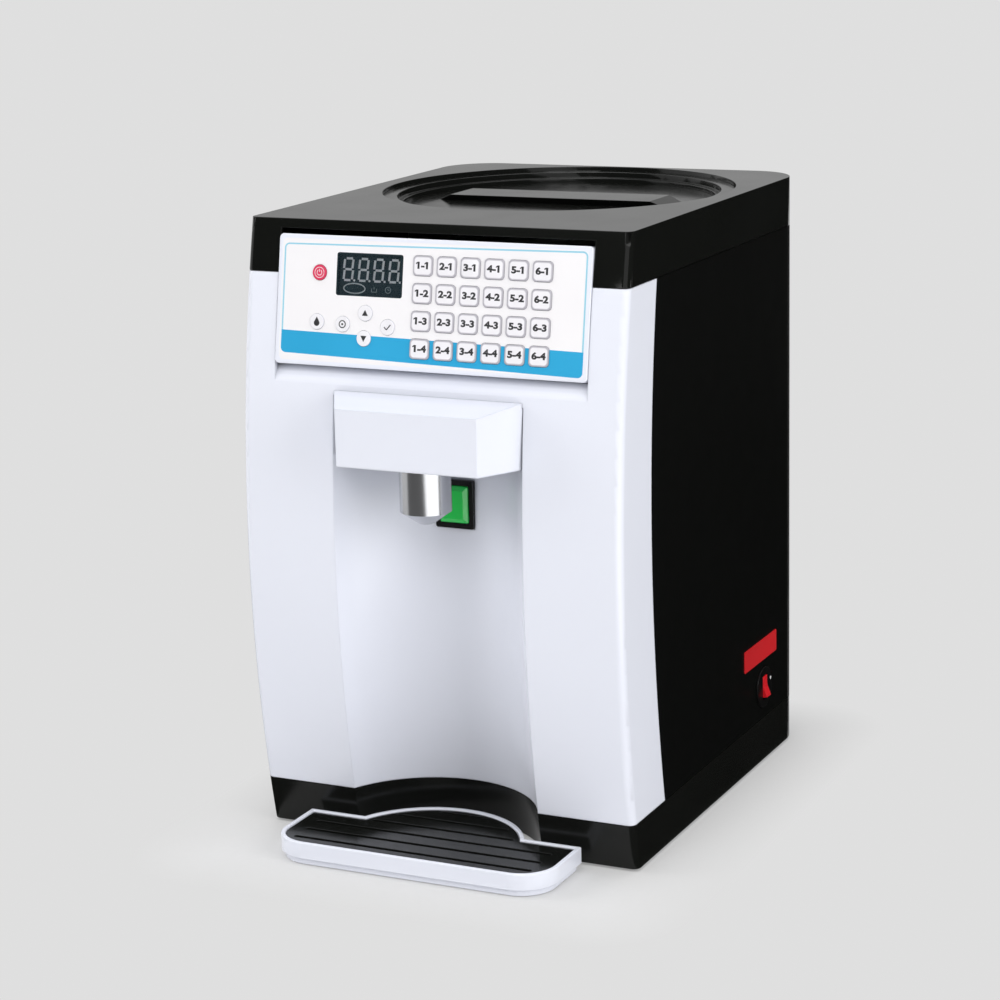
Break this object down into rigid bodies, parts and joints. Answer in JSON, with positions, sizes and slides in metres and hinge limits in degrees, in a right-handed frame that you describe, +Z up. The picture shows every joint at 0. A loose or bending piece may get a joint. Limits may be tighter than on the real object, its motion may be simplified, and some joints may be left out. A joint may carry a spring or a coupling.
{
  "type": "fructose dispenser",
  "caption": "Countertop syrup dispenser with a bowed white front, keypad, display, nozzle over a cup niche, drip tray, lidded tank and pump.",
  "frame": {"origin": "on the ground, under the middle of the whole object's box", "axes": "+Z up, -Y out of the front, +X to the right of someone facing the front"},
  "size_m": [0.2707, 0.3895, 0.409],
  "materials": {
    "black_cover": "satin black moulded plastic",
    "black_housing": "smooth black powder coat",
    "white_panel": "semi-gloss white moulded plastic",
    "black_base": "gloss black moulded plastic",
    "foot_rubber": "matt rubber",
    "white_bezel": "satin white moulded plastic",
    "overlay_film": "printed polyester film with a blue band, clear and smoked over the display",
    "display_block": "dark display with pale figures",
    "circuit_board": "green circuit board with parts",
    "nozzle_steel": "turned stainless steel",
    "switch_black": "black switch plastic",
    "green_lens": "translucent green lens",
    "white_tray": "semi-gloss white moulded plastic",
    "black_grille": "gloss black moulded plastic",
    "tank_steel": "stainless sheet",
    "gasket_silicone": "silicone rubber",
    "hose_silicone": "food-grade silicone hose",
    "pump_metal": "machined casting",
    "motor_metal": "motor can",
    "rotor_steel": "machined steel",
    "screw_steel": "zinc-plated steel",
    "red_rocker": "gloss red plastic",
    "red_key": "printed red key",
    "grey_key": "printed pale grey key",
    "white_key": "printed white key"
  },
  "bodies": {
    "dispenser": {"top_cover": "black_cover", "housing_shell": "black_housing", "rear_cover": "black_housing", "front_panel": "white_panel", "base": "black_base", "feet": "foot_rubber", "control_bezel": "white_bezel", "keypad_overlay": "overlay_film", "display_module": "display_block", "control_board": "circuit_board", "nozzle_housing": "white_panel", "nozzle": "nozzle_steel", "button_frame": "switch_black", "tank": "tank_steel", "tank_gasket": "gasket_silicone", "suction_hose": "hose_silicone", "outlet_hose": "hose_silicone", "pump_body": "pump_metal", "pump_motor": "motor_metal", "power_board": "circuit_board", "power_inlet": "switch_black", "switch_body": "switch_black", "screws": "screw_steel"},
    "lid": {"lid": "black_cover", "lid_rim": "black_cover"},
    "drip_tray": {"drip_tray": "white_tray"},
    "drip_grille": {"drip_grille": "black_grille"},
    "dispense_button": {"dispense_button": "green_lens"},
    "switch_rocker": {"switch_rocker": "red_rocker"},
    "pump_rotor": {"pump_rotor": "rotor_steel"},
    "key_power": {"key_power": "red_key"},
    "key_clean": {"key_clean": "grey_key"},
    "key_set": {"key_set": "grey_key"},
    "key_save": {"key_save": "grey_key"},
    "key_up": {"key_up": "grey_key"},
    "key_down": {"key_down": "grey_key"},
    "key_1_1": {"key_1_1": "white_key"},
    "key_1_2": {"key_1_2": "white_key"},
    "key_1_3": {"key_1_3": "white_key"},
    "key_1_4": {"key_1_4": "white_key"},
    "key_2_1": {"key_2_1": "white_key"},
    "key_2_2": {"key_2_2": "white_key"},
    "key_2_3": {"key_2_3": "white_key"},
    "key_2_4": {"key_2_4": "white_key"},
    "key_3_1": {"key_3_1": "white_key"},
    "key_3_2": {"key_3_2": "white_key"},
    "key_3_3": {"key_3_3": "white_key"},
    "key_3_4": {"key_3_4": "white_key"},
    "key_4_1": {"key_4_1": "white_key"},
    "key_4_2": {"key_4_2": "white_key"},
    "key_4_3": {"key_4_3": "white_key"},
    "key_4_4": {"key_4_4": "white_key"},
    "key_5_1": {"key_5_1": "white_key"},
    "key_5_2": {"key_5_2": "white_key"},
    "key_5_3": {"key_5_3": "white_key"},
    "key_5_4": {"key_5_4": "white_key"},
    "key_6_1": {"key_6_1": "white_key"},
    "key_6_2": {"key_6_2": "white_key"},
    "key_6_3": {"key_6_3": "white_key"},
    "key_6_4": {"key_6_4": "white_key"}
  },
  "joints": [
    {"name": "lid_lift", "type": "slide", "parent": "dispenser", "child": "lid", "axis": [0, 0, 1], "range_m": [0, 0.06]},
    {"name": "tray_slide", "type": "slide", "parent": "dispenser", "child": "drip_tray", "axis": [0, -1, 0], "range_m": [0, 0.12]},
    {"name": "grille_lift", "type": "slide", "parent": "drip_tray", "child": "drip_grille", "axis": [0, 0, 1], "range_m": [0, 0.04]},
    {"name": "button_press", "type": "slide", "parent": "dispenser", "child": "dispense_button", "axis": [0, 1, 0], "range_m": [0, 0.003], "stiffness_N_per_m": 500, "springref_m": -0.002},
    {"name": "switch_rock", "type": "hinge", "parent": "dispenser", "child": "switch_rocker", "pos_m": [0.1315, 0.1062, 0.056], "axis": [0, 1, 0], "range_deg": [0, 24]},
    {"name": "rotor_spin", "type": "hinge", "parent": "dispenser", "child": "pump_rotor", "pos_m": [0, 0.0672, 0.086], "axis": [1, 0, 0], "continuous": true},
    {"name": "key_power_press", "type": "slide", "parent": "dispenser", "child": "key_power", "axis": [0, 0.9857, -0.1683], "range_m": [0, 0.0004], "stiffness_N_per_m": 3000, "springref_m": -0.0003},
    {"name": "key_clean_press", "type": "slide", "parent": "dispenser", "child": "key_clean", "axis": [0, 0.9857, -0.1683], "range_m": [0, 0.0004], "stiffness_N_per_m": 3000, "springref_m": -0.0003},
    {"name": "key_set_press", "type": "slide", "parent": "dispenser", "child": "key_set", "axis": [0, 0.9857, -0.1683], "range_m": [0, 0.0004], "stiffness_N_per_m": 3000, "springref_m": -0.0003},
    {"name": "key_save_press", "type": "slide", "parent": "dispenser", "child": "key_save", "axis": [0, 0.9857, -0.1683], "range_m": [0, 0.0004], "stiffness_N_per_m": 3000, "springref_m": -0.0003},
    {"name": "key_up_press", "type": "slide", "parent": "dispenser", "child": "key_up", "axis": [0, 0.9857, -0.1683], "range_m": [0, 0.0004], "stiffness_N_per_m": 3000, "springref_m": -0.0003},
    {"name": "key_down_press", "type": "slide", "parent": "dispenser", "child": "key_down", "axis": [0, 0.9857, -0.1683], "range_m": [0, 0.0004], "stiffness_N_per_m": 3000, "springref_m": -0.0003},
    {"name": "key_1_1_press", "type": "slide", "parent": "dispenser", "child": "key_1_1", "axis": [0, 0.9857, -0.1683], "range_m": [0, 0.0004], "stiffness_N_per_m": 3000, "springref_m": -0.0003},
    {"name": "key_1_2_press", "type": "slide", "parent": "dispenser", "child": "key_1_2", "axis": [0, 0.9857, -0.1683], "range_m": [0, 0.0004], "stiffness_N_per_m": 3000, "springref_m": -0.0003},
    {"name": "key_1_3_press", "type": "slide", "parent": "dispenser", "child": "key_1_3", "axis": [0, 0.9857, -0.1683], "range_m": [0, 0.0004], "stiffness_N_per_m": 3000, "springref_m": -0.0003},
    {"name": "key_1_4_press", "type": "slide", "parent": "dispenser", "child": "key_1_4", "axis": [0, 0.9857, -0.1683], "range_m": [0, 0.0004], "stiffness_N_per_m": 3000, "springref_m": -0.0003},
    {"name": "key_2_1_press", "type": "slide", "parent": "dispenser", "child": "key_2_1", "axis": [0, 0.9857, -0.1683], "range_m": [0, 0.0004], "stiffness_N_per_m": 3000, "springref_m": -0.0003},
    {"name": "key_2_2_press", "type": "slide", "parent": "dispenser", "child": "key_2_2", "axis": [0, 0.9857, -0.1683], "range_m": [0, 0.0004], "stiffness_N_per_m": 3000, "springref_m": -0.0003},
    {"name": "key_2_3_press", "type": "slide", "parent": "dispenser", "child": "key_2_3", "axis": [0, 0.9857, -0.1683], "range_m": [0, 0.0004], "stiffness_N_per_m": 3000, "springref_m": -0.0003},
    {"name": "key_2_4_press", "type": "slide", "parent": "dispenser", "child": "key_2_4", "axis": [0, 0.9857, -0.1683], "range_m": [0, 0.0004], "stiffness_N_per_m": 3000, "springref_m": -0.0003},
    {"name": "key_3_1_press", "type": "slide", "parent": "dispenser", "child": "key_3_1", "axis": [0, 0.9857, -0.1683], "range_m": [0, 0.0004], "stiffness_N_per_m": 3000, "springref_m": -0.0003},
    {"name": "key_3_2_press", "type": "slide", "parent": "dispenser", "child": "key_3_2", "axis": [0, 0.9857, -0.1683], "range_m": [0, 0.0004], "stiffness_N_per_m": 3000, "springref_m": -0.0003},
    {"name": "key_3_3_press", "type": "slide", "parent": "dispenser", "child": "key_3_3", "axis": [0, 0.9857, -0.1683], "range_m": [0, 0.0004], "stiffness_N_per_m": 3000, "springref_m": -0.0003},
    {"name": "key_3_4_press", "type": "slide", "parent": "dispenser", "child": "key_3_4", "axis": [0, 0.9857, -0.1683], "range_m": [0, 0.0004], "stiffness_N_per_m": 3000, "springref_m": -0.0003},
    {"name": "key_4_1_press", "type": "slide", "parent": "dispenser", "child": "key_4_1", "axis": [0, 0.9857, -0.1683], "range_m": [0, 0.0004], "stiffness_N_per_m": 3000, "springref_m": -0.0003},
    {"name": "key_4_2_press", "type": "slide", "parent": "dispenser", "child": "key_4_2", "axis": [0, 0.9857, -0.1683], "range_m": [0, 0.0004], "stiffness_N_per_m": 3000, "springref_m": -0.0003},
    {"name": "key_4_3_press", "type": "slide", "parent": "dispenser", "child": "key_4_3", "axis": [0, 0.9857, -0.1683], "range_m": [0, 0.0004], "stiffness_N_per_m": 3000, "springref_m": -0.0003},
    {"name": "key_4_4_press", "type": "slide", "parent": "dispenser", "child": "key_4_4", "axis": [0, 0.9857, -0.1683], "range_m": [0, 0.0004], "stiffness_N_per_m": 3000, "springref_m": -0.0003},
    {"name": "key_5_1_press", "type": "slide", "parent": "dispenser", "child": "key_5_1", "axis": [0, 0.9857, -0.1683], "range_m": [0, 0.0004], "stiffness_N_per_m": 3000, "springref_m": -0.0003},
    {"name": "key_5_2_press", "type": "slide", "parent": "dispenser", "child": "key_5_2", "axis": [0, 0.9857, -0.1683], "range_m": [0, 0.0004], "stiffness_N_per_m": 3000, "springref_m": -0.0003},
    {"name": "key_5_3_press", "type": "slide", "parent": "dispenser", "child": "key_5_3", "axis": [0, 0.9857, -0.1683], "range_m": [0, 0.0004], "stiffness_N_per_m": 3000, "springref_m": -0.0003},
    {"name": "key_5_4_press", "type": "slide", "parent": "dispenser", "child": "key_5_4", "axis": [0, 0.9857, -0.1683], "range_m": [0, 0.0004], "stiffness_N_per_m": 3000, "springref_m": -0.0003},
    {"name": "key_6_1_press", "type": "slide", "parent": "dispenser", "child": "key_6_1", "axis": [0, 0.9857, -0.1683], "range_m": [0, 0.0004], "stiffness_N_per_m": 3000, "springref_m": -0.0003},
    {"name": "key_6_2_press", "type": "slide", "parent": "dispenser", "child": "key_6_2", "axis": [0, 0.9857, -0.1683], "range_m": [0, 0.0004], "stiffness_N_per_m": 3000, "springref_m": -0.0003},
    {"name": "key_6_3_press", "type": "slide", "parent": "dispenser", "child": "key_6_3", "axis": [0, 0.9857, -0.1683], "range_m": [0, 0.0004], "stiffness_N_per_m": 3000, "springref_m": -0.0003},
    {"name": "key_6_4_press", "type": "slide", "parent": "dispenser", "child": "key_6_4", "axis": [0, 0.9857, -0.1683], "range_m": [0, 0.0004], "stiffness_N_per_m": 3000, "springref_m": -0.0003}
  ]
}
